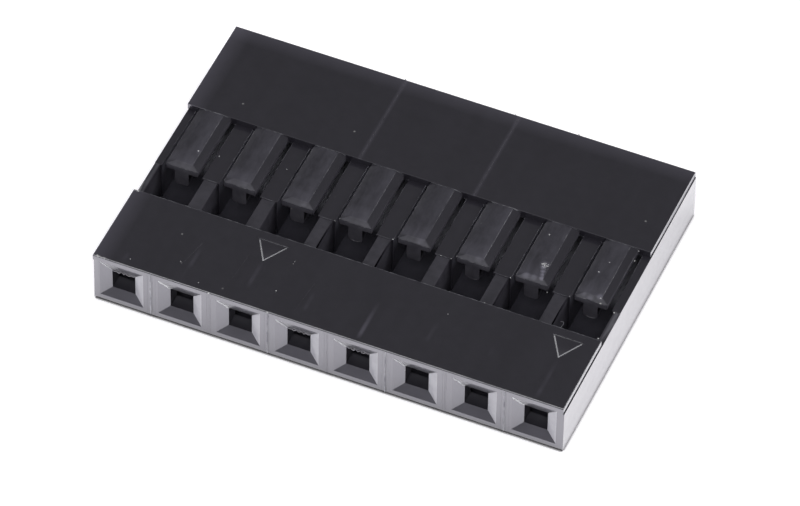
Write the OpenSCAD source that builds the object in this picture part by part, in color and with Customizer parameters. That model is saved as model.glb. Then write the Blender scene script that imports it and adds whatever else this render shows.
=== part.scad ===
/* [Row] */
// Number of terminal ways in the row
ways = 8; // [2:1:12]
// Distance from one way to the next
pitch = 2.54; // [2.5:0.01:3.2]
// Gap that two housings side by side keep in the pin grid
side_clearance = 0.07; // [0:0.01:0.3]

/* [Body] */
// Length from the pin face to the wire face
body_l = 14; // [12:0.1:18]
// Height from the resting face to the top face
body_h = 2.5; // [2.3:0.01:3.2]
// Sideways shift between the two halves of the mould, seen as a ledge at the parting line; the
// tongues belong to the upper half
parting_shift = 0.04; // [0:0.01:0.08]

/* [Window] */
// Length of the top face in front of the window
front_band_l = 3.95; // [2:0.05:5]
// Length of the window, open at both sides of the body
window_l = 5.2; // [4:0.05:6]
// Depth of the window below the top face, down to the ribs between the tongues
window_depth = 0.29; // [0.2:0.01:0.3]
// How much lower the ribs lie in front of the tongues
front_rib_drop = 0.03; // [0:0.01:0.04]

/* [Terminal cavity] */
// Width of the cavity that a crimp terminal slides into
cavity_w = 1.78; // [1.5:0.01:1.9]
// Wall under the cavity
floor_t = 0.35; // [0.25:0.01:0.5]
// Wall over the cavity, and thickness of the tongue cut free from it
roof_t = 0.36; // [0.35:0.01:0.5]
// Wall between the pin face and the cavity
front_wall_t = 0.85; // [0.5:0.05:1.5]

/* [Inspection pocket] */
// Width of the opening in front of each tongue
pocket_w = 1.94; // [1.8:0.01:2.1]
// Radius of the front corners of the opening
pocket_corner_r = 0.14; // [0.05:0.01:0.3]

/* [Locking tongue] */
// Free length of the tongue, from its root to its tip
tongue_l = 3.3; // [2.5:0.01:3.8]
// Gap between each side of the tongue and the cavity wall
tongue_gap = 0.19; // [0.12:0.01:0.3]
// Depth of the tongue's flat top below the top face
tongue_step = 0.02; // [0:0.01:0.1]
// Width of the bevel along each side of the tongue
tongue_bevel_w = 0.32; // [0.1:0.01:0.4]
// Length of the bevel across the tip of the tongue
tip_bevel_l = 0.28; // [0.1:0.01:0.4]
// Drop of the side and tip bevels
tongue_bevel_drop = 0.06; // [0.03:0.01:0.15]

/* [Locking catch] */
// Width of the catch under the tip
catch_w = 0.62; // [0.4:0.01:0.9]
// Height of the catch below the underside of the tongue
catch_h = 0.7; // [0.3:0.01:0.9]
// Length of the flat underside of the catch
catch_flat_l = 0.2; // [0.1:0.01:0.4]
// Length of the ramp that a terminal lifts as it slides in
catch_ramp_l = 1.5; // [0.8:0.05:2]
// Radius of the lower edges of the catch
catch_r = 0.14; // [0.05:0.01:0.18]

/* [Pin entry] */
// Height of the pin axis above the resting face
pin_z = 1.25; // [1.1:0.01:1.5]
// Side of the square hole that a header pin passes through
pin_hole = 1; // [0.7:0.01:1.2]
// Side of the square lead-in at the pin face
lead_in_w = 1.9; // [1.5:0.01:2.1]
// Depth of the lead-in
lead_in_l = 0.23; // [0.15:0.01:0.45]
// Height of the middle of the lead-in above the pin axis
lead_in_rise = 0.06; // [0:0.01:0.15]

/* [Way marks] */
// Ways that carry an engraved triangle, counted from the left
marked_ways = [3, 8]; // [1:1:12]
// Distance from the window to the base of the triangle
mark_inset = 0.38; // [0.2:0.01:0.8]
// Width of the triangle's base
mark_w = 1.34; // [0.8:0.01:1.6]
// Height of the triangle, from base to point
mark_l = 1.13; // [0.8:0.01:1.5]
// Width of the engraved line
mark_line = 0.06; // [0.04:0.01:0.12]
// Depth of the engraved line
mark_depth = 0.03; // [0.01:0.01:0.08]

/* [Hidden] */
// Smoothness of the small corner arcs
$fn = 48;
// Overshoot of a cut past the face that it opens
past = 0.5;

// Overall width of each half of the moulding
body_w = ways * pitch - side_clearance;
// Y of the pin face, with the origin midway along the body
pin_face = -body_l / 2;
// Y of the window's front wall, where the front top face ends
window_front = pin_face + front_band_l;
// Y of the window's rear wall, which is also the root of the tongues
window_rear = window_front + window_l;
// Z of the ribs in the window, which is also the parting line
rib_z = body_h - window_depth;
// Z of the cavity's roof, which is also the underside of the tongues
roof_z = body_h - roof_t;
// Height of the cavity
cavity_h = roof_z - floor_t;
// Y of the tip of the tongues
tip = window_rear - tongue_l;
// Width of the tongue below its side bevels
tongue_w = cavity_w - 2 * tongue_gap;
// Z of the tongue's flat top
tongue_z = body_h - tongue_step;
// Z of the lower edge of the tongue's bevels
bevel_z = tongue_z - tongue_bevel_drop;
// Length of tongue that is buried in the roof behind its root
root_l = 0.5;
// Z of the underside of the catch
catch_z = roof_z - catch_h;

// X of a way's middle, with the ways counted from 1 at the left
function way_x(way) = (way - (ways + 1) / 2) * pitch;

// Puts its children at every way
module at_each_way() {
    for (way = [1 : ways]) translate([way_x(way), 0, 0]) children();
}

// A block that is centred on X and given by its ranges along Y and Z
module bar(width, y, z) {
    translate([-width / 2, y[0], z[0]]) cube([width, y[1] - y[0], z[1] - z[0]]);
}

// Stands a profile drawn as Y and Z up across the body, centred on X
module across(width) {
    translate([-width / 2, 0, 0])
        rotate([90, 0, 90]) linear_extrude(height = width) children();
}

// Stands a profile drawn as X and Z up along the body, from one Y to another
module along(y) {
    translate([0, y[1], 0]) rotate([90, 0, 0]) linear_extrude(height = y[1] - y[0]) children();
}

// What the lower half of the mould forms: the body up to the parting line
module lower_body() {
    translate([parting_shift / 2, 0, 0]) difference() {
        bar(body_w, [pin_face, -pin_face], [0, rib_z]);
        bar(body_w + 2 * past, [window_front, tip], [rib_z - front_rib_drop, body_h]);
    }
}

// What the upper half of the mould forms is shifted sideways against the lower half
module in_upper_mould() {
    translate([-parting_shift / 2, 0, 0]) children();
}

// The two top bands, in front of the window and behind it
module top_bands() {
    bar(body_w, [pin_face, window_front], [rib_z, body_h]);
    bar(body_w, [window_rear, -pin_face], [rib_z, body_h]);
}

// The straight cavity, open at the wire face
module terminal_cavity() {
    bar(cavity_w, [pin_face + front_wall_t, -pin_face + past], [floor_t, roof_z]);
}

// The slot that cuts the tongue free and opens the cavity upwards
module tongue_slot() {
    bar(cavity_w, [tip, window_rear], [floor_t + cavity_h / 2, body_h + past]);
}

// The opening in front of the tongue, down to the cavity's floor, with round front corners
module inspection_pocket() {
    corner = pocket_w / 2 - pocket_corner_r;
    translate([0, 0, floor_t]) linear_extrude(height = body_h) union() {
        translate([-pocket_w / 2, window_front + pocket_corner_r])
            square([pocket_w, tip - window_front - pocket_corner_r]);
        translate([-corner, window_front]) square([2 * corner, pocket_corner_r]);
        for (x = [-corner, corner])
            translate([x, window_front + pocket_corner_r]) circle(pocket_corner_r);
    }
}

// The square pin hole and its four-sided lead-in
module pin_entry() {
    bar(pin_hole, [pin_face - past, pin_face + front_wall_t + past],
        [pin_z - pin_hole / 2, pin_z + pin_hole / 2]);
    translate([0, pin_face, pin_z]) intersection() {
        translate([0, 0, -lead_in_w]) linear_extrude(height = 2 * lead_in_w) lead_in_profile(0);
        across(2 * lead_in_w) mirror([1, -1, 0]) lead_in_profile(lead_in_rise);
    }
}

// The lead-in seen along one pair of its sides: the hole's width against the depth from the
// pin face, with the mouth moved sideways from the pin axis by shift
module lead_in_profile(shift) {
    half = pin_hole / 2;
    outwards = past / lead_in_l;
    left = shift - lead_in_w / 2;
    right = shift + lead_in_w / 2;
    polygon([[left + (left + half) * outwards, -past], [right + (right - half) * outwards, -past],
             [half, lead_in_l], [-half, lead_in_l]]);
}

// The tongue without its catch: flat on top, bevelled at both sides and at the tip
module tongue_blade() {
    half_w = tongue_w / 2;
    half_top = half_w - tongue_bevel_w;
    intersection() {
        across(tongue_w) polygon([
            [window_rear + root_l, roof_z], [window_rear + root_l, tongue_z],
            [tip + tip_bevel_l, tongue_z], [tip, bevel_z], [tip, roof_z]]);
        along([tip, window_rear + root_l]) polygon([
            [-half_w, roof_z], [-half_w, bevel_z], [-half_top, tongue_z],
            [half_top, tongue_z], [half_w, bevel_z], [half_w, roof_z]]);
    }
}

// The catch that drops behind the terminal: square at the front, ramped at the rear
module catch() {
    corner = catch_w / 2 - catch_r;
    buried = roof_z + roof_t / 2;
    intersection() {
        across(catch_w) polygon([
            [tip, buried], [tip, catch_z], [tip + catch_flat_l, catch_z],
            [tip + catch_flat_l + catch_ramp_l, roof_z],
            [tip + catch_flat_l + catch_ramp_l, buried]]);
        along([tip, window_rear]) union() {
            translate([-catch_w / 2, catch_z + catch_r])
                square([catch_w, buried - catch_z - catch_r]);
            translate([-corner, catch_z]) square([2 * corner, catch_r]);
            for (x = [-corner, corner])
                translate([x, catch_z + catch_r]) circle(catch_r);
        }
    }
}

// The outline of a triangle that points at the pin face, cut into the front top face
module way_mark() {
    half_angle = atan(mark_w / 2 / mark_l);
    inner_l = mark_l - mark_line - mark_line / sin(half_angle);
    inner_half_w = inner_l * tan(half_angle);
    base = window_front - mark_inset;
    translate([0, 0, body_h - mark_depth]) linear_extrude(height = mark_depth + past)
        difference() {
            polygon([[-mark_w / 2, base], [mark_w / 2, base], [0, base - mark_l]]);
            polygon([[-inner_half_w, base - mark_line], [inner_half_w, base - mark_line],
                     [0, base - mark_line - inner_l]]);
        }
}

// The whole housing, moulded in one piece with its tongues
module housing() {
    color("#2b2a2e") union() {
        difference() {
            union() {
                lower_body();
                in_upper_mould() top_bands();
            }
            at_each_way() {
                terminal_cavity();
                tongue_slot();
                inspection_pocket();
                pin_entry();
            }
            in_upper_mould() for (way = marked_ways) if (way <= ways)
                translate([way_x(way), 0, 0]) way_mark();
        }
        in_upper_mould() at_each_way() {
            tongue_blade();
            catch();
        }
    }
}

housing();
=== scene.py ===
import math
import random
import bmesh
import bpy
from mathutils import Matrix, Vector


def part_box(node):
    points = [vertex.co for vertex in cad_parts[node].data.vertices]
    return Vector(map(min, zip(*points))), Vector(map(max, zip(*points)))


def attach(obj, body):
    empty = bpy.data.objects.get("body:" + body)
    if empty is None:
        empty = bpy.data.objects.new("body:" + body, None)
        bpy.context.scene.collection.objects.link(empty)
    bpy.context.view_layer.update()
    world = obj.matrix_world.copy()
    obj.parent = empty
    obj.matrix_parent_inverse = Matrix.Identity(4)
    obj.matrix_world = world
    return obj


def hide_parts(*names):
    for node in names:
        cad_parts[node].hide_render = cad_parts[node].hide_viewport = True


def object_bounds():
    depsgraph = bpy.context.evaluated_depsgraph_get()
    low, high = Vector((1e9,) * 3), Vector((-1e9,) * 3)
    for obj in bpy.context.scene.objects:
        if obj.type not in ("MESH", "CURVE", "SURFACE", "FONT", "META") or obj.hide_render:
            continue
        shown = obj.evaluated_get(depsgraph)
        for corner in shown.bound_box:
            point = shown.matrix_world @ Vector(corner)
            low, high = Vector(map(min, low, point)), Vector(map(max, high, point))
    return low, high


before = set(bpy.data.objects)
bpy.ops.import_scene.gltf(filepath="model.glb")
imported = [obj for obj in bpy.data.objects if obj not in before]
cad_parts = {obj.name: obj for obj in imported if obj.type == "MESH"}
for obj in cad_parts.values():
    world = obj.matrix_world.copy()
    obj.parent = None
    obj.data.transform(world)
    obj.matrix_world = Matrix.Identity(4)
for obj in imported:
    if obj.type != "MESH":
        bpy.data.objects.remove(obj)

cad_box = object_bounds()
MM = 0.001

# ---------------------------------------------------------------------------------------------
# Camera. A long lens looks down on the pin face from its right-hand end, so the row of ways
# runs away to the upper left with hardly any perspective.
# ---------------------------------------------------------------------------------------------
aim = Vector((0.545, -0.864, 1.25)) * MM
camera_azimuth = math.radians(22.40)
camera_elevation = math.radians(47.20)
camera_roll = math.radians(1.158)
camera_distance = 290.3 * MM

camera_data = bpy.data.cameras.new("camera")
camera_data.sensor_width = 36
camera_data.lens = 326.4
camera_data.clip_start = 10 * MM
camera_data.clip_end = 10
camera = bpy.data.objects.new("camera", camera_data)
camera_turn = (Matrix.Rotation(camera_azimuth, 4, "Z")
               @ Matrix.Rotation(math.pi / 2 - camera_elevation, 4, "X")
               @ Matrix.Rotation(camera_roll, 4, "Z"))
camera_place = aim + camera_turn @ Vector((0, 0, camera_distance))
camera.matrix_world = Matrix.Translation(camera_place) @ camera_turn
bpy.context.scene.collection.objects.link(camera)
bpy.context.scene.camera = camera
bpy.context.scene.view_settings.view_transform = "Standard"

# ---------------------------------------------------------------------------------------------
# Studio. The sky is pale at the horizon, dark at the height that the top face mirrors, and
# lighter again overhead, as in a room with white walls and a soft ceiling light.
# ---------------------------------------------------------------------------------------------
world = bpy.data.worlds.new("studio")
bpy.context.scene.world = world
world.use_nodes = True
nodes = world.node_tree.nodes
links = world.node_tree.links
sky = nodes["Background"]
direction = nodes.new("ShaderNodeTexCoord")
height = nodes.new("ShaderNodeSeparateXYZ")
links.new(direction.outputs["Generated"], height.inputs["Vector"])
sky_bands = nodes.new("ShaderNodeValToRGB")
links.new(height.outputs["Z"], sky_bands.inputs["Fac"])
band_levels = [(0.0, 0.90), (0.17, 0.19), (0.40, 0.16), (0.60, 0.090), (0.80, 0.095), (0.93, 0.30),
               (1.0, 0.45)]
ramp = sky_bands.color_ramp
while len(ramp.elements) < len(band_levels):
    ramp.elements.new(0.5)
for element, (place, level) in zip(ramp.elements, band_levels):
    element.position = place
    element.color = (level, level, level * 1.02, 1)
seen_by_camera = nodes.new("ShaderNodeLightPath")
backdrop = nodes.new("ShaderNodeMix")
backdrop.data_type = "RGBA"
backdrop.inputs["B"].default_value = (1, 1, 1, 1)
links.new(seen_by_camera.outputs["Is Camera Ray"], backdrop.inputs["Factor"])
links.new(sky_bands.outputs["Color"], backdrop.inputs["A"])
links.new(backdrop.outputs["Result"], sky.inputs["Color"])

def combine(tree, operation, *sources):
    """Works out one value in a node tree from others, which are sockets or plain numbers."""
    node = tree.nodes.new("ShaderNodeMath")
    node.operation = operation
    for socket, source in zip(node.inputs, sources):
        if isinstance(source, bpy.types.NodeSocket):
            tree.links.new(source, socket)
        else:
            socket.default_value = source
    return node.outputs["Value"]

def fade(tree, source, start, stop, level_before=0, level_after=1, smooth=False):
    """A value that goes from one level to another while its source goes from start to stop."""
    node = tree.nodes.new("ShaderNodeMapRange")
    node.interpolation_type = "SMOOTHSTEP" if smooth else "LINEAR"
    node.inputs["From Min"].default_value = start
    node.inputs["From Max"].default_value = stop
    node.inputs["To Min"].default_value = level_before
    node.inputs["To Max"].default_value = level_after
    tree.links.new(source, node.inputs["Value"])
    return node.outputs["Result"]

def axes_of(tree, place):
    """The X, Y and Z of a place, by name."""
    split = tree.nodes.new("ShaderNodeSeparateXYZ")
    tree.links.new(place, split.inputs["Vector"])
    return split.outputs

# The table is matt white. It shows white to the camera and in reflections, and it is darker
# close to the housing, which keeps its shadow and a thin dark line where it touches down.
bpy.ops.object.select_all(action="DESELECT")
bpy.ops.mesh.primitive_plane_add(size=2.4)
table = bpy.context.object
table.name = "table"
table_paint = bpy.data.materials.new("table_paint")
table_paint.use_nodes = True
paint = table_paint.node_tree
shader = paint.nodes["Principled BSDF"]
shader.inputs["Roughness"].default_value = 1
shader.inputs["Specular IOR Level"].default_value = 0
shader.inputs["Emission Color"].default_value = (0.975, 0.955, 1.0, 1)
contact = paint.nodes.new("ShaderNodeAmbientOcclusion")
contact.samples = 8
contact.inputs["Distance"].default_value = 0.22 * MM
contact_shade = fade(paint, contact.outputs["AO"], 0.38, 0.72, 0.04, 1)
paper = paint.nodes.new("ShaderNodeMix")
paper.data_type = "RGBA"
paper.inputs["A"].default_value = (0, 0, 0, 1)
paper.inputs["B"].default_value = (0.8, 0.8, 0.8, 1)
paint.links.new(contact_shade, paper.inputs["Factor"])
paint.links.new(paper.outputs["Result"], shader.inputs["Base Color"])

# In reflections the table's glow is painted dim close to the housing, as painted shadow, and painted
# bright beyond the right-hand end of the row, as painted light from the lamp there, less so towards the
# rear
place = paint.nodes.new("ShaderNodeTexCoord").outputs["Object"]
axes = axes_of(paint, place)
right_end, rear_end = cad_box[1][:2]
lit_end = fade(paint, axes["X"], right_end - 0.10 * MM, right_end + 0.10 * MM, 0, 0.8)
dim_behind = fade(paint, axes["Y"], 0, rear_end, 1, 0.86)
open_sky = paint.nodes.new("ShaderNodeAmbientOcclusion")
open_sky.samples = 8
open_sky.inputs["Distance"].default_value = 1.65 * MM
open_or_lit = combine(paint, "MAXIMUM", open_sky.outputs["AO"], lit_end)
mirrored_sky = combine(paint, "MULTIPLY", open_or_lit, dim_behind)
ray = paint.nodes.new("ShaderNodeLightPath")
glow_in_gloss = combine(paint, "MULTIPLY", ray.outputs["Is Glossy Ray"], mirrored_sky)
seen_and_open = combine(paint, "MULTIPLY", ray.outputs["Is Camera Ray"], contact_shade)
glow = combine(paint, "MULTIPLY_ADD", seen_and_open, 0.55, glow_in_gloss)
paint.links.new(glow, shader.inputs["Emission Strength"])
table.data.materials.append(table_paint)

# Three soft lamps: one behind the camera, and one for each end of the row
lamps = [("front_lamp", (0.10, -0.42, 0.45), 0.40, 2.4),
         ("left_lamp", (-0.52, -0.10, 0.36), 0.30, 0.9),
         ("right_lamp", (0.52, 0.14, 0.36), 0.30, 1.7)]
for name, place, size, watts in lamps:
    lamp_data = bpy.data.lights.new(name, "AREA")
    lamp_data.size = size
    lamp_data.energy = watts
    lamp = bpy.data.objects.new(name, lamp_data)
    lamp_turn = Vector(place).to_track_quat("Z", "Y").to_matrix().to_4x4()
    lamp.matrix_world = Matrix.Translation(place) @ lamp_turn
    lamp.visible_glossy = False
    bpy.context.scene.collection.objects.link(lamp)

# ---------------------------------------------------------------------------------------------
# Housing. One injection moulding of black thermoplastic: the body, the eight locking tongues
# cut free from its top, and the pin entries. Every outer edge is slightly rounded.
# ---------------------------------------------------------------------------------------------
cad_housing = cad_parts["housing"]
low, high = (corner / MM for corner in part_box("housing"))
ways = 8
pitch = 2.54
way_x = [(way - (ways + 1) / 2) * pitch for way in range(1, ways + 1)]
parting_shift = 0.04
pin_face = low.y
lead_in_end = pin_face + 0.23
cavity_front = pin_face + 0.85
window_front = pin_face + 3.95
window_rear = window_front + 5.2
tip = window_rear - 3.3
pin_z = 1.25
top_z = high.z
tongue_z = top_z - 0.02
mark_z = top_z - 0.03
rib_z = top_z - 0.29
front_rib_z = rib_z - 0.03
roof_z = top_z - 0.36
catch_z = roof_z - 0.7
half_tongue = 0.70
half_pocket = 0.97
widest_round = 0.2

housing = bpy.data.objects.new("housing_moulding", cad_housing.data.copy())
bpy.context.scene.collection.objects.link(housing)
bpy.ops.object.select_all(action="DESELECT")
housing.select_set(True)
bpy.context.view_layer.objects.active = housing
housing.data.materials.clear()
bpy.ops.object.mode_set(mode="EDIT")
bpy.ops.mesh.select_all(action="SELECT")
bpy.ops.mesh.remove_doubles(threshold=0.0005 * MM)
bpy.ops.mesh.dissolve_limited(angle_limit=math.radians(0.5))

def near(value, *targets):
    """Whether a measure in millimetres is one of some others, give or take 4 micrometres."""
    return any(abs(value - target) < 0.004 for target in targets)

def both_near(first, second, *targets):
    """Whether each of two measures is one of some others."""
    return near(first, *targets) and near(second, *targets)

def room_beside(edge):
    """The length in millimetres of the shortest edge that leaves this one sideways."""
    along = (edge.verts[1].co - edge.verts[0].co).normalized()
    room = 10
    for vert in edge.verts:
        for other in vert.link_edges:
            if other is not edge:
                run = other.verts[1].co - other.verts[0].co
                if abs(run.normalized().dot(along)) < 0.8:
                    room = min(room, run.length / MM)
    return room

def wanted_round(edge):
    """The rounding of an edge in millimetres, by its place on the moulding."""
    a, b = (vert.co / MM for vert in edge.verts)
    middle = (a + b) / 2
    side = both_near(abs(a.x), abs(b.x), high.x, high.x - parting_shift)
    end = both_near(a.y, b.y, low.y, high.y)
    lengthways = near(a.x, b.x)
    on_top = both_near(a.z, b.z, top_z)
    on_rib = both_near(a.z, b.z, rib_z)
    # The bottom edges
    if a.z < 0.01 and b.z < 0.01:
        return 0.19 if both_near(a.y, b.y, pin_face) else 0.05
    # The upright corners of the body, and the outer edges of the top face
    if side and end:
        return 0.05
    if on_top and both_near(a.y, b.y, high.y):
        return 0.10
    if on_top and (side or end):
        return 0.022
    # The way marks, the long edges of the tongues, and the front edge of the window
    if middle.z > top_z - 0.04 and pin_face + 0.1 < middle.y < window_front - 0.1:
        return 0.008
    if middle.z > top_z - 0.12 and tip - 0.01 < middle.y < window_rear and lengthways:
        return 0.02
    if both_near(a.y, b.y, window_front) and near(a.z, top_z):
        return 0.045
    # The lead-ins and the pin holes stay sharp
    if both_near(a.y, b.y, pin_face, lead_in_end) or both_near(a.y, b.y, cavity_front):
        return 0
    # The ledge at the parting line, the ribs beside the tongues, and the corners at their tips
    if on_rib and side:
        return 0.008
    if on_rib and lengthways and tip - 0.1 < middle.y < window_rear:
        return 0.006
    if both_near(a.y, b.y, tip) and abs(a.z - b.z) > 0.5:
        return 0.008
    # The left-hand edges of four pockets are softer than the rest
    if both_near(a.z, b.z, front_rib_z) and lengthways:
        if near(a.x, *(way_x[way - 1] - half_pocket for way in (4, 5, 7, 8))):
            return 0.06
    return 0.025

edit = bmesh.from_edit_mesh(housing.data)
by_width = {}
sharp = []
for edge in edit.edges:
    if edge.calc_face_angle() < math.radians(3):
        continue
    width = min(wanted_round(edge), 0.4 * room_beside(edge)) if edge.is_convex else 0
    if width > 0.003:
        by_width.setdefault(round(width, 3), []).append(edge.index)
    else:
        sharp.append(edge.index)
bpy.ops.mesh.select_mode(type="EDGE")
bpy.ops.mesh.select_all(action="DESELECT")
edit = bmesh.from_edit_mesh(housing.data)
edit.edges.ensure_lookup_table()
for index in sharp:
    edit.edges[index].select_set(True)
bpy.ops.mesh.mark_sharp()
for width, indices in by_width.items():
    bpy.ops.mesh.select_all(action="DESELECT")
    edit = bmesh.from_edit_mesh(housing.data)
    edit.edges.ensure_lookup_table()
    for index in indices:
        edit.edges[index].select_set(True)
    bpy.ops.transform.edge_bevelweight(value=width / widest_round)
bpy.ops.object.mode_set(mode="OBJECT")
bpy.ops.object.shade_smooth()
edge_round = housing.modifiers.new("edge_round", "BEVEL")
edge_round.width = widest_round * MM
edge_round.segments = 3
edge_round.limit_method = "WEIGHT"
edge_round.use_clamp_overlap = False
edge_round.loop_slide = False
bpy.ops.object.modifier_apply(modifier="edge_round")
flat_faces = housing.modifiers.new("flat_faces", "WEIGHTED_NORMAL")
flat_faces.weight = 100
flat_faces.keep_sharp = True
bpy.ops.object.modifier_apply(modifier="flat_faces")

def start_group(name, *outputs):
    """A node group with some outputs, its output sockets, and the place on the piece."""
    group = bpy.data.node_groups.new(name, "ShaderNodeTree")
    for output in outputs:
        group.interface.new_socket(output, in_out="OUTPUT", socket_type="NodeSocketFloat")
    group_out = group.nodes.new("NodeGroupOutput").inputs
    place = group.nodes.new("ShaderNodeTexCoord").outputs["Object"]
    return group, group_out, place

def stretched(tree, place, scale):
    """A place scaled differently along each axis."""
    node = tree.nodes.new("ShaderNodeMapping")
    node.inputs["Scale"].default_value = scale
    tree.links.new(place, node.inputs["Vector"])
    return node.outputs["Vector"]

def mottle(tree, place, scale, detail=2, roughness=0.5):
    """Cloudy noise over a place."""
    node = tree.nodes.new("ShaderNodeTexNoise")
    node.inputs["Scale"].default_value = scale
    node.inputs["Detail"].default_value = detail
    node.inputs["Roughness"].default_value = roughness
    tree.links.new(place, node.inputs["Vector"])
    return node.outputs["Fac"]

# Marks that the mould and handling leave on every face: faint flow streaks along the body,
# cloudy patches, pale specks of dust and a fine grain
surface_marks, marks_out, place = start_group("surface_marks", "Streaks", "Clouds", "Specks", "Grain",
                                              "Waves")
links = surface_marks.links
streaks = mottle(surface_marks, stretched(surface_marks, place, (1400, 120, 1400)), 1, 3)
links.new(streaks, marks_out["Streaks"])
links.new(mottle(surface_marks, place, 2600, 4, 0.6), marks_out["Clouds"])
speck_cells = surface_marks.nodes.new("ShaderNodeTexVoronoi")
speck_cells.inputs["Scale"].default_value = 1500
links.new(place, speck_cells.inputs["Vector"])
speck_core = fade(surface_marks, speck_cells.outputs["Distance"], 0.09, 0.03)
speck_pick = surface_marks.nodes.new("ShaderNodeSeparateColor")
links.new(speck_cells.outputs["Color"], speck_pick.inputs["Color"])
few_specks = combine(surface_marks, "GREATER_THAN", speck_pick.outputs["Red"], 0.86)
links.new(combine(surface_marks, "MULTIPLY", speck_core, few_specks), marks_out["Specks"])
waves = mottle(surface_marks, stretched(surface_marks, place, (520, 160, 520)), 1)
links.new(waves, marks_out["Waves"])
links.new(mottle(surface_marks, place, 22000), marks_out["Grain"])

# The tongues are paler towards the right-hand ridge and the tip, with blotches and a few scuffs
tongue_wear, tone_out, place = start_group("tongue_wear", "Tone")
axes = axes_of(tongue_wear, place)
in_pitches = combine(tongue_wear, "DIVIDE", axes["X"], pitch * MM)
across_way = combine(tongue_wear, "FRACT", in_pitches)
to_ridge = fade(tongue_wear, across_way, 0.5 - 0.32 / pitch, 0.5 + 0.36 / pitch, 0, 0.52)
to_tip = fade(tongue_wear, axes["Y"], (tip + 1.15) * MM, (tip + 0.30) * MM, 0, 0.55, smooth=True)
off_tip_bevel = fade(tongue_wear, axes["Y"], (tip + 0.20) * MM, (tip + 0.30) * MM)
ridge_and_tip = combine(tongue_wear, "ADD", to_ridge, to_tip)
on_the_flat = combine(tongue_wear, "MULTIPLY", ridge_and_tip, off_tip_bevel)
blotches = mottle(tongue_wear, stretched(tongue_wear, place, (5200, 1300, 2600)), 1, 4, 0.65)
blotch_level = fade(tongue_wear, blotches, 0.35, 0.68, -0.20, 0.30)
tone_shift = combine(tongue_wear, "ADD", on_the_flat, blotch_level)
ragged = mottle(tongue_wear, place, 7000, 3)
scuffs = [(6.47, -0.14, 0.30, 1.5), (6.50, -0.34, 0.17, 3.2), (6.56, -0.52, 0.16, 3.2),
          (6.62, -0.70, 0.16, 3.2), (6.66, -0.90, 0.18, 3.2), (6.02, -0.98, 0.26, 2.0),
          (6.34, -0.98, 0.24, 1.8), (9.16, -0.86, 0.26, 1.8), (8.80, -1.06, 0.24, 1.3),
          (8.50, -0.98, 0.16, 1.0), (8.60, 0.36, 0.12, 1.0), (8.78, 1.02, 0.10, 1.0),
          (-8.62, -0.10, 0.16, 0.8), (-3.60, -1.02, 0.22, 0.8), (1.45, -1.00, 0.26, 0.9),
          (3.95, -0.95, 0.24, 0.9), (-6.20, -1.00, 0.20, 0.6)]
for scuff_x, scuff_y, reach, strength in scuffs:
    away = tongue_wear.nodes.new("ShaderNodeVectorMath")
    away.operation = "DISTANCE"
    away.inputs[1].default_value = Vector((scuff_x, scuff_y, top_z)) * MM
    tongue_wear.links.new(place, away.inputs[0])
    ragged_away = combine(tongue_wear, "MULTIPLY_ADD", ragged, 0.45 * reach * MM, away.outputs["Value"])
    scuff = fade(tongue_wear, ragged_away, reach * MM, 0.5 * reach * MM, 0, strength)
    tone_shift = combine(tongue_wear, "ADD", tone_shift, scuff)
tongue_wear.links.new(tone_shift, tone_out["Tone"])

# The cavities are painted paler in the middle, as painted light reaching into them: the floors under
# the rear of the tongues, the walls from the tips of the tongues on, and the far end of the pin holes
def middle_painted_light(name, start, strength, lowest=-1):
    """A mask that rises from a place along Y and above a height, and ends behind the window."""
    group, tone_out, place = start_group(name, "Tone")
    axes = axes_of(group, place)
    rise = fade(group, axes["Y"], start * MM, (start + 0.6) * MM, 0, strength)
    fall = fade(group, axes["Y"], (window_rear + 2) * MM, (window_rear + 0.5) * MM)
    above = fade(group, axes["Z"], lowest * MM, (lowest + 0.5) * MM)
    tone_shift = combine(group, "MULTIPLY", combine(group, "MULTIPLY", rise, fall), above)
    group.links.new(tone_shift, tone_out["Tone"])
    return group

floor_painted_light = middle_painted_light("floor_painted_light", tip + 1.7, 10.5)
wall_painted_light = middle_painted_light("wall_painted_light", tip - 0.4, 3.0, rib_z - 0.75)
bore_painted_light = middle_painted_light("bore_painted_light", pin_face + 0.3, 1.4)

# The side lines of the way marks are painted pale as painted highlights, and the line along their
# base less so. The upper face of each lead-in is painted darker towards the pin hole, as painted shade.
def painted_light_along_body(name, start, stop, level_before, level_after):
    """A mask that changes evenly from one level to another between two places along Y."""
    group, tone_out, place = start_group(name, "Tone")
    tone_shift = fade(group, axes_of(group, place)["Y"], start * MM, stop * MM, level_before, level_after)
    group.links.new(tone_shift, tone_out["Tone"])
    return group

score_painted_highlight = painted_light_along_body("score_painted_highlight", window_front - 0.445, window_front - 0.475, 0, 0.75)
overhang_painted_shade = painted_light_along_body("overhang_painted_shade", pin_face + 0.02, pin_face + 0.21, 0.6, -1.7)

# Knit lines: the melt met behind every pin core and left a soft pale smear on the top face, and
# two joints of the mould show behind the window
knit_lines, tone_out, place = start_group("knit_lines", "Tone")
axes = axes_of(knit_lines, place)
in_pitches = combine(knit_lines, "DIVIDE", axes["X"], pitch * MM)
across_way = combine(knit_lines, "PINGPONG", in_pitches, 0.5)
at_middle = fade(knit_lines, across_way, 0.5 - 0.13 / pitch, 0.5 - 0.02 / pitch, smooth=True)
fading = fade(knit_lines, axes["Y"], (pin_face + 2.4) * MM, (pin_face + 0.8) * MM)
behind_edge = fade(knit_lines, axes["Y"], (pin_face + 0.15) * MM, (pin_face + 0.5) * MM)
some_ways = fade(knit_lines, mottle(knit_lines, place, 420), 0.46, 0.62, 0, 5)
tone_shift = at_middle
for factor in (fading, behind_edge, some_ways):
    tone_shift = combine(knit_lines, "MULTIPLY", tone_shift, factor)
joints_x = (-2.55, 2.45)
behind_window = combine(knit_lines, "GREATER_THAN", axes["Y"], window_rear * MM)
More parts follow.
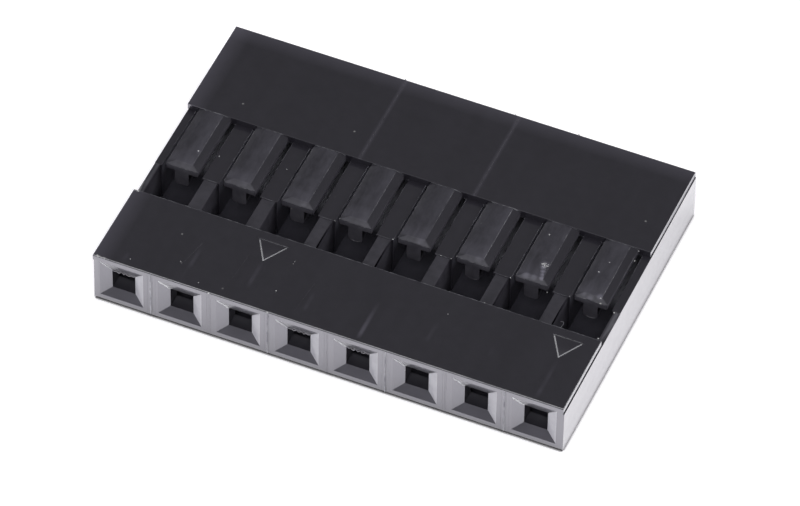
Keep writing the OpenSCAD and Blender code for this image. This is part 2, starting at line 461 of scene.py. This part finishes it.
for joint_x in joints_x:
    beside_joint = combine(knit_lines, "ABSOLUTE", combine(knit_lines, "SUBTRACT", axes["X"], joint_x * MM))
    smear = fade(knit_lines, beside_joint, 0.14 * MM, 0, 0, 2.5, smooth=True)
    tone_shift = combine(knit_lines, "MULTIPLY_ADD", smear, behind_window, tone_shift)

# The left-hand end and the rear edge of the top face are a little paler too
top_only = combine(knit_lines, "GREATER_THAN", axes["Z"], (top_z - 0.05) * MM)
for axis, start, stop, strength in (("X", low.x + 0.85, low.x, 4.0), ("Y", high.y - 0.8, high.y, 3.4)):
    paler_end = fade(knit_lines, axes[axis], start * MM, stop * MM, 0, strength)
    tone_shift = combine(knit_lines, "MULTIPLY_ADD", paler_end, top_only, tone_shift)
knit_lines.links.new(tone_shift, tone_out["Tone"])

def plastic_finish(name, dark, pale, specks, rough, coat, grain, tone_group=None):
    """Black plastic whose colour drifts from dark to pale with the streaks and clouds, and with a group's
    tone shift, which carries wear and mould marks for some finishes and painted light and shade for others.
    """
    finish = bpy.data.materials.new(name)
    finish.use_nodes = True
    tree = finish.node_tree
    shader = tree.nodes["Principled BSDF"]
    marks = tree.nodes.new("ShaderNodeGroup")
    marks.node_tree = surface_marks
    drift = combine(tree, "ADD", marks.outputs["Streaks"], marks.outputs["Clouds"])
    tint_level = fade(tree, drift, start=0.78, stop=1.25)
    tint = tree.nodes.new("ShaderNodeMix")
    tint.data_type = "RGBA"
    tint.inputs["A"].default_value = dark + (1,)
    tint.inputs["B"].default_value = pale + (1,)
    # Where the group shifts the tone, it sets the colour more than the drift does
    if tone_group:
        tone_shift = tree.nodes.new("ShaderNodeGroup")
        tone_shift.node_tree = tone_group
        tint_level = combine(tree, "MULTIPLY_ADD", tint_level, 0.35, tone_shift.outputs["Tone"])
        tint.clamp_factor = False
    tree.links.new(tint_level, tint.inputs["Factor"])
    dusty = tree.nodes.new("ShaderNodeMix")
    dusty.data_type = "RGBA"
    dusty.inputs["B"].default_value = (specks, specks, specks, 1)
    tree.links.new(tint.outputs["Result"], dusty.inputs["A"])
    tree.links.new(marks.outputs["Specks"], dusty.inputs["Factor"])
    tree.links.new(dusty.outputs["Result"], shader.inputs["Base Color"])
    uneven_rough = fade(tree, marks.outputs["Clouds"], 0, 1, rough - 0.04, rough + 0.08)
    tree.links.new(uneven_rough, shader.inputs["Roughness"])
    relief = tree.nodes.new("ShaderNodeBump")
    relief.inputs["Distance"].default_value = grain * MM
    tree.links.new(marks.outputs["Grain"], relief.inputs["Height"])
    waves = tree.nodes.new("ShaderNodeBump")
    waves.inputs["Distance"].default_value = 0.05 * MM
    tree.links.new(marks.outputs["Waves"], waves.inputs["Height"])
    tree.links.new(relief.outputs["Normal"], waves.inputs["Normal"])
    tree.links.new(waves.outputs["Normal"], shader.inputs["Normal"])
    shader.inputs["IOR"].default_value = 1.6
    shader.inputs["Specular Tint"].default_value = (0.86, 0.84, 1.0, 1)
    shader.inputs["Specular IOR Level"].default_value = 1.0 if coat else 0.25
    shader.inputs["Coat Weight"].default_value = coat
    shader.inputs["Coat Roughness"].default_value = 0.12
    shader.inputs["Coat IOR"].default_value = 1.82
    return finish

# The mould polished the outer faces and left the tongues and the front ribs eroded. The insides are
# matt. They are painted paler than the outer faces, as painted light, and darkest in the pin holes and
# on the walls of the pockets, with the faces at the tongue tips and the ledge, as painted shade. The
# lead-ins' side faces are painted pale as painted reflections, and their upper faces paler as painted
# light.
polished = plastic_finish("black_plastic_polished", (0.0130, 0.0120, 0.0160), (0.0225, 0.0210, 0.0275),
                          specks=0.20, rough=0.30, coat=1, grain=0.0006, tone_group=knit_lines)
eroded = plastic_finish("black_plastic_eroded", (0.018, 0.017, 0.022), (0.054, 0.052, 0.065),
                        specks=0.35, rough=0.34, coat=1, grain=0.0015, tone_group=tongue_wear)
frosted = plastic_finish("black_plastic_frosted", (0.020, 0.019, 0.024), (0.040, 0.038, 0.047),
                         specks=0.35, rough=0.34, coat=1, grain=0.0015)
inside = plastic_finish("black_plastic_inside", (0.040, 0.0385, 0.049), (0.064, 0.0625, 0.076),
                        specks=0.12, rough=0.60, coat=0, grain=0.001, tone_group=floor_painted_light)
# The grooves of the way marks are painted pale, as painted highlights
scored_highlight = plastic_finish("black_plastic_scored_highlight", (0.06, 0.06, 0.07), (0.40, 0.40, 0.42),
                        specks=0.70, rough=0.75, coat=0, grain=0.003, tone_group=score_painted_highlight)
shaded = plastic_finish("black_plastic_shaded", (0.040, 0.038, 0.047), (0.060, 0.058, 0.069),
                        specks=0.12, rough=0.60, coat=0, grain=0.001)
walls = plastic_finish("black_plastic_walls", (0.048, 0.046, 0.058), (0.082, 0.079, 0.098),
                       specks=0.12, rough=0.60, coat=0, grain=0.001, tone_group=wall_painted_light)
facing = plastic_finish("black_plastic_lead_in", (0.20, 0.197, 0.225), (0.28, 0.276, 0.31),
                        specks=0.30, rough=0.32, coat=1, grain=0.001)
bore = plastic_finish("black_plastic_bore", (0.021, 0.020, 0.025), (0.043, 0.042, 0.050),
                      specks=0.08, rough=0.60, coat=0, grain=0.001, tone_group=bore_painted_light)
overhang = plastic_finish("black_plastic_lead_in_top", (0.075, 0.074, 0.085), (0.115, 0.113, 0.13),
                          specks=0.30, rough=0.32, coat=1, grain=0.001, tone_group=overhang_painted_shade)
tip_face = plastic_finish("black_plastic_tip_face", (0.012, 0.0115, 0.015), (0.020, 0.019, 0.024),
                          specks=0.08, rough=0.14, coat=0, grain=0.0006)
pocket = plastic_finish("black_plastic_pocket", (0.032, 0.030, 0.038), (0.058, 0.056, 0.068),
                        specks=0.12, rough=0.45, coat=0, grain=0.001)
finishes = [polished, eroded, frosted, inside, scored_highlight, shaded, walls, facing, bore, overhang, tip_face,
            pocket]
for finish in finishes:
    housing.data.materials.append(finish)

def finish_at(middle, normal):
    """The finish of a face, by its middle in millimetres and the way it faces."""
    from_way = (middle.x - way_x[0] + pitch / 2) % pitch - pitch / 2
    in_lead_in = pin_face + 0.05 < middle.y < lead_in_end - 0.01 and normal.y < -0.8
    at_tongue = tip - 0.01 < middle.y < window_rear
    # The left-hand and upper faces of the lead-ins, painted pale as painted reflection and painted
    # light, and the pin holes, painted dark as painted shade
    if in_lead_in and normal.x < -0.3 and normal.y > -0.95:
        return facing
    if in_lead_in and normal.z < -0.3 and normal.y > -0.97:
        return overhang
    if lead_in_end - 0.01 < middle.y < cavity_front + 0.05 and abs(from_way) < 0.6:
        return bore
    # The way marks
    if mark_z - 0.005 < middle.z < top_z - 0.001 and middle.y < window_front - 0.1:
        return scored_highlight if abs(normal.z) > 0.9 else polished
    # The tops of the tongues, the ribs in front of them, their tips, and the ledge on the right; the tips
    # and the ledge are painted dark as painted shade
    if at_tongue and normal.z > 0.5 and middle.z > tongue_z - 0.05:
        return eroded if from_way < 0.37 else polished
    if window_front < middle.y < tip and near(middle.z, front_rib_z):
        return frosted
    if near(middle.y, tip) and abs(from_way) < half_tongue + 0.05 and middle.z > roof_z - 0.01:
        return tip_face
    if near(middle.z, rib_z) and middle.x > high.x - parting_shift - 0.005 and middle.y < window_front:
        return tip_face
    # The sides of the tongues and the catches under them
    if at_tongue and abs(from_way) < half_tongue + 0.02 and middle.z > catch_z - 0.01 and normal.z < 0.5:
        return shaded
    # The pockets, painted dark as painted shade, and the rest of the cavities, painted paler as painted
    # light
    in_cavity = pin_face + 0.25 < middle.y < high.y - 0.01 and abs(from_way) < half_pocket + 0.005
    if in_cavity and 0.3 < middle.z < rib_z:
        if window_front < middle.y < tip + 0.01 and max(abs(normal.x), abs(normal.y)) > 0.8:
            return pocket
        return walls if abs(normal.x) > 0.8 else inside
    return polished

for face in housing.data.polygons:
    face.material_index = finishes.index(finish_at(face.center / MM, face.normal))
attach(housing, "root")
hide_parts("housing")

# ---------------------------------------------------------------------------------------------
# Witness lines and flash. Molten plastic creeps into the joints between the mould's inserts and
# stays as hair-thin uneven ridges: on the pin face and the rear of the top face, along the
# tongues, and in a few corners of the pockets and pin holes.
# ---------------------------------------------------------------------------------------------
wander = random.Random(8)

def thread(points, radius, unevenness, step=0.12):
    """One uneven ridge along the straight runs between some points, all in millimetres."""
    stations = []
    for start, stop in zip(points, points[1:]):
        start, stop = Vector(start), Vector(stop)
        count = max(2, round((stop - start).length / step))
        for index in range(count):
            stations.append(start.lerp(stop, index / count))
    stations.append(Vector(points[-1]))
    curve = bpy.data.curves.new("thread", "CURVE")
    curve.dimensions = "3D"
    curve.bevel_depth = MM
    curve.bevel_resolution = 1
    curve.use_fill_caps = True
    spline = curve.splines.new("POLY")
    spline.points.add(len(stations) - 1)
    for point, station in zip(spline.points, stations):
        shake = [wander.uniform(-0.4, 0.4) * unevenness * radius for axis in range(3)]
        point.co = [*((station + Vector(shake)) * MM), 1]
        point.radius = radius * (1 + wander.uniform(-0.8, 1.0) * unevenness)
    spline.points[0].radius = 0.3 * radius
    spline.points[-1].radius = 0.3 * radius
    ridge = bpy.data.objects.new("thread", curve)
    bpy.context.scene.collection.objects.link(ridge)
    return ridge

def fuse(name, parts, finish):
    """Turns some curves or solids into one mesh piece that belongs to the housing."""
    bpy.ops.object.select_all(action="DESELECT")
    for part in parts:
        part.select_set(True)
    bpy.context.view_layer.objects.active = parts[0]
    bpy.ops.object.convert(target="MESH")
    bpy.ops.object.join()
    bpy.ops.object.shade_smooth()
    piece = bpy.context.object
    piece.name = name
    piece.data.name = name
    piece.data.materials.clear()
    piece.data.materials.append(finish)
    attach(piece, "root")

# Between the ways of the pin face: three faint lines each time, and a white one every other time
face_lines = []
faint_lines = []
for way in range(1, ways):
    x = way_x[way - 1] + pitch / 2
    if way % 2:
        face_lines.append(thread([(x, pin_face, 0.10), (x, pin_face, top_z - 0.03)], 0.026, 0.3))
        for shift, radius in ((-0.14, 0.010), (0.07, 0.012), (0.20, 0.007)):
            faint_lines.append(thread([(x + shift, pin_face, 0.12), (x + shift, pin_face, top_z - 0.08)],
                                      radius, 0.5))
    else:
        for shift in (-0.09, 0.0, 0.06):
            faint_lines.append(thread([(x + shift, pin_face, 0.1), (x + shift, pin_face, top_z - 0.06)],
                                      0.010, 0.6))
fuse("pin_face_faint_lines", faint_lines, frosted)
ridge_white = plastic_finish("white_ridge_plastic", (0.22, 0.22, 0.25), (0.52, 0.52, 0.56),
                             specks=0.6, rough=0.45, coat=0, grain=0.002)
fuse("pin_face_witness_lines", face_lines, ridge_white)

# On the top face: the two joints behind the window, and three scratches in front of it
scratches = [((-6.66, -5.84), (-6.39, -4.54)), ((-4.56, -6.06), (-4.45, -4.36)),
             ((-1.61, -6.58), (-1.45, -4.79))]
band_lines = [thread([(joint_x, window_rear + 0.05, top_z), (joint_x, high.y - 0.1, top_z)], 0.014, 0.9)
              for joint_x in joints_x]
band_lines += [thread([(*start, top_z), (*stop, top_z)], 0.005, 0.9) for start, stop in scratches]
fuse("top_face_witness_lines", band_lines, frosted)

# In the window: flash along the right-hand ridge, the root, the tip and the left-hand edge of
# each tongue, along the ribs beside it, and along the window's front edge. The flash is painted paler
# than the plastic, as painted highlights along these edges.
flash_highlight_plastic = plastic_finish("thin_flash_highlight_plastic", (0.035, 0.034, 0.042), (0.16, 0.16, 0.175),
                               specks=0.5, rough=0.50, coat=0, grain=0.002)
tongue_edge_z = top_z - 0.085
window_flash = []
for way, x in enumerate(way_x, 1):
    ridge_x = x + 0.345
    rib_x = x - 0.90
    next_rib_x = x + 1.02
    next_rib_stop = x + pitch - 1.02 if way < ways else x + 1.12
    window_flash += [
        thread([(ridge_x, window_rear, tongue_z), (ridge_x, tip + 0.28, tongue_z)],
               0.007 if way < 3 else 0.011, 0.9, 0.09),
        thread([(x - 0.70, window_rear, top_z - 0.035), (x + 0.36, window_rear, top_z - 0.01),
                (x + 0.68, window_rear, top_z - 0.07)], 0.012, 0.95, 0.08),
        thread([(x - 0.66, tip, tongue_edge_z), (x + 0.64, tip, tongue_edge_z)], 0.008, 0.9, 0.08),
        thread([(next_rib_x, tip, rib_z - 0.005), (next_rib_stop, tip, rib_z - 0.005)],
               0.008, 0.9, 0.07),
        thread([(rib_x, tip + 0.02, rib_z), (rib_x, tip + 1.7, rib_z)], 0.010, 0.9, 0.1),
        thread([(rib_x, tip + 1.7, rib_z), (rib_x, window_rear - 0.3, rib_z)], 0.005, 0.9, 0.1),
        thread([(x - 0.715, tip + 0.03, tongue_edge_z), (x - 0.715, window_rear - 0.1, tongue_edge_z)],
               0.007, 0.95, 0.09)]
window_flash.append(thread([(-10.1, window_front, top_z - 0.008), (10.1, window_front, top_z - 0.008)],
                           0.009, 0.9, 0.1))
fuse("window_flash", window_flash, flash_highlight_plastic)

# Scraps that hang in the upper edge of three pin holes
hole_top = pin_z + 0.52
hole_flash = []
for way in (1, 4, 5):
    for shift, reach in ((-0.40, 0.05), (-0.22, 0.09), (0.0, 0.07), (0.22, 0.09), (0.40, 0.04)):
        x = way_x[way - 1] + shift
        hole_flash.append(thread([(x - 0.12, pin_face + 0.24, hole_top),
                                  (x, pin_face + 0.24, pin_z + 0.51 - reach),
                                  (x + 0.12, pin_face + 0.24, hole_top)], 0.035, 0.5, 0.06))
fuse("pin_hole_flash", hole_flash, polished)

# In the pockets: flash along the lower edge of three catches, painted pale as a painted highlight,
# and a few hairs
pocket_flash = []
for way, lift in ((4, 0.0), (6, 0.02), (8, 0.0)):
    x = way_x[way - 1] - 0.02
    pocket_flash.append(thread([(x - 0.16, tip - 0.004, catch_z + 0.05 + lift),
                                (x - 0.05, tip - 0.008, catch_z + lift),
                                (x + 0.1, tip - 0.008, catch_z + lift),
                                (x + 0.22, tip - 0.004, catch_z + 0.06 + lift)], 0.012, 0.6, 0.05))
pocket_flash.append(thread([(8.10, -2.42, rib_z - 0.1), (8.22, -2.40, rib_z - 0.08),
                            (8.28, -2.5, rib_z - 0.08), (8.18, -2.95, rib_z - 0.12)], 0.010, 0.6, 0.06))
for way in (4, 6):
    x = way_x[way - 1]
    pocket_flash.append(thread([(x - 0.90, -2.35, rib_z - 0.5), (x - 0.80, -2.55, rib_z - 0.75),
                                (x - 0.74, -2.85, rib_z - 0.85)], 0.010, 0.5, 0.06))
fuse("pocket_flash", pocket_flash, flash_highlight_plastic)

# A ridge in the upper left corner of each lead-in, where two faces of the insert meet, painted
# near-white as a painted highlight
corner_ridges = [thread([(x - 0.93, pin_face, pin_z + 0.99), (x - 0.62, pin_face + 0.17, pin_z + 0.64),
                         (x - 0.50, pin_face + 0.22, pin_z + 0.50)], 0.036, 0.4, 0.08)
                 for x in way_x]
corner_highlight = plastic_finish("corner_highlight_plastic", (0.50, 0.50, 0.53), (0.85, 0.85, 0.88),
                              specks=0.85, rough=0.50, coat=0, grain=0.002)
fuse("lead_in_ridges", corner_ridges, corner_highlight)

# ---------------------------------------------------------------------------------------------
# Crumbs and specks. Loose crumbs of the same plastic, white where they are torn, cling to the
# top face, to a few tongues and to the corners of the window.
# ---------------------------------------------------------------------------------------------
def crumb(place, size, seed, stretch=(1, 1, 0.6)):
    """A torn grain of plastic: a ball with every corner knocked out of place, then flattened."""
    bpy.ops.object.select_all(action="DESELECT")
    bpy.ops.mesh.primitive_ico_sphere_add(subdivisions=2, radius=size * MM)
    grain = bpy.context.object
    bpy.ops.object.mode_set(mode="EDIT")
    bpy.ops.mesh.select_all(action="SELECT")
    bpy.ops.transform.vertex_random(offset=0.35 * size * MM, seed=seed)
    bpy.ops.transform.resize(value=stretch, center_override=(0, 0, 0))
    bpy.ops.transform.translate(value=Vector(place) * MM)
    bpy.ops.object.mode_set(mode="OBJECT")
    return grain

torn = plastic_finish("torn_plastic", (0.18, 0.18, 0.19), (0.70, 0.70, 0.71),
                      specks=0.8, rough=0.6, coat=0, grain=0.002)

# Single specks, each with its place and its size
bevel_z = top_z - 0.09
specks = [
    ((-8.68, -6.59, top_z), 0.022), ((-6.79, -5.89, top_z), 0.028), ((-6.72, -5.95, top_z), 0.018),
    ((-5.68, -6.65, top_z), 0.028), ((-2.69, -5.80, top_z), 0.034), ((-2.64, -4.06, top_z), 0.020),
    ((-2.66, -4.20, top_z), 0.018), ((4.01, -4.19, top_z), 0.022), ((-2.6, 6.98, top_z), 0.040),
    ((2.25, 6.98, top_z), 0.036), ((5.03, 6.98, top_z), 0.045), ((-2.55, 3.6, top_z), 0.018),
    ((-2.55, 5.1, top_z), 0.016), ((2.45, 4.4, top_z), 0.018), ((6.03, 1.42, tongue_z), 0.034),
    ((-2.19, tip + 0.03, rib_z), 0.026), ((0.33, tip + 0.04, rib_z), 0.034),
    ((2.87, tip + 0.01, rib_z), 0.036), ((2.43, tip, rib_z), 0.024),
    ((5.43, tip + 0.02, rib_z), 0.030), ((5.20, tip, rib_z), 0.018),
    ((7.96, tip + 0.05, rib_z), 0.022), ((-1.97, tip + 0.04, bevel_z), 0.034),
    ((3.10, tip + 0.05, bevel_z), 0.028), ((9.2, -0.92, top_z - 0.04), 0.045),
    ((8.6, 0.35, tongue_z), 0.028), ((8.8, 1.0, tongue_z), 0.022), ((9.62, 1.63, rib_z + 0.1), 0.040),
    ((9.6, 2.1, rib_z + 0.2), 0.036), ((-8.66, -0.07, tongue_z), 0.030),
    ((-7.88, 0.24, rib_z), 0.026), ((-5.1, 0.68, rib_z), 0.026), ((5.0, -2.78, rib_z - 0.02), 0.045),
    ((9.93, -2.98, top_z), 0.040), ((5.75, -2.86, rib_z), 0.026), ((-5.08, -7.0, top_z - 0.01), 0.040),
    ((-2.54, -7.0, top_z - 0.01), 0.045), ((9.9, -1.2, rib_z), 0.04), ((7.05, -1.25, rib_z - 0.02), 0.03)]
crumbs = [crumb(place, 0.85 * size, seed) for seed, (place, size) in enumerate(specks)]
fuse("specks", crumbs, torn)

# The big scuff on the seventh tongue is a smear of many small crumbs with a few strays around it
scuff_z = top_z - 0.024
smear = []
for seed in range(34):
    turn = wander.uniform(0, 2 * math.pi)
    far = wander.uniform(0, 1)
    place = (6.50 + 0.15 * far * math.cos(turn), -0.16 + 0.17 * far * math.sin(turn), scuff_z)
    smear.append(crumb(place, wander.uniform(0.012, 0.034), 40 + seed, (1, 1, 0.35)))
for seed in range(5):
    place = (wander.uniform(6.2, 6.75), wander.uniform(-0.5, 0.35), scuff_z)
    smear.append(crumb(place, wander.uniform(0.010, 0.018), 80 + seed, (1, 1, 0.4)))

# The left-hand corners of the front top face are chipped and ragged
chip_z = top_z - 0.01
for seed in range(8):
    place = (-10.02 + 0.055 * seed, -6.96 + wander.uniform(-0.02, 0.05), chip_z)
    smear.append(crumb(place, wander.uniform(0.025, 0.042), 90 + seed, (1.3, 1, 0.5)))
for seed in range(4):
    place = (-10.08 + 0.05 * seed, window_front - 0.04, chip_z)
    smear.append(crumb(place, wander.uniform(0.02, 0.035), 100 + seed))
fuse("scuff_and_chips", smear, torn)
